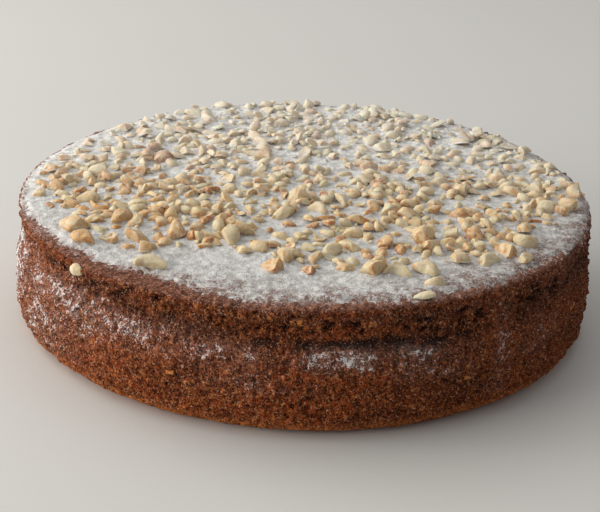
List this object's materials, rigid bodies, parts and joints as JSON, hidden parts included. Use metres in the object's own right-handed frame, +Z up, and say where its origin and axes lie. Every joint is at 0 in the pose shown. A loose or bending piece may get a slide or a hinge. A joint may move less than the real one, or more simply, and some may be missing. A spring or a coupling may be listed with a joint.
{
  "type": "carrot cake",
  "caption": "Round uncut carrot cake: brown porous sponge with a sunken waist, its flat top dusted with icing sugar and strewn with chopped toasted nuts.",
  "frame": {"origin": "middle of the flat underside, at the level that the cake stands on", "axes": "+Z up through the cake; -Y towards the front, where the margin of bare sugar is widest; +X to the right"},
  "size_m": [0.2438, 0.244, 0.0533],
  "materials": {
    "crust": "matte, porous brown baked sponge, thinly dusted in places",
    "icing_sugar": "matte, fine white powder",
    "nut": "satin, pale cream cut nut",
    "toasted_nut": "satin, golden brown toasted nut",
    "nut_skin": "satin, dark red-brown papery skin",
    "carrot": "satin, baked orange carrot"
  },
  "bodies": {
    "root": {"cake": "crust"}
  },
  "joints": []
}
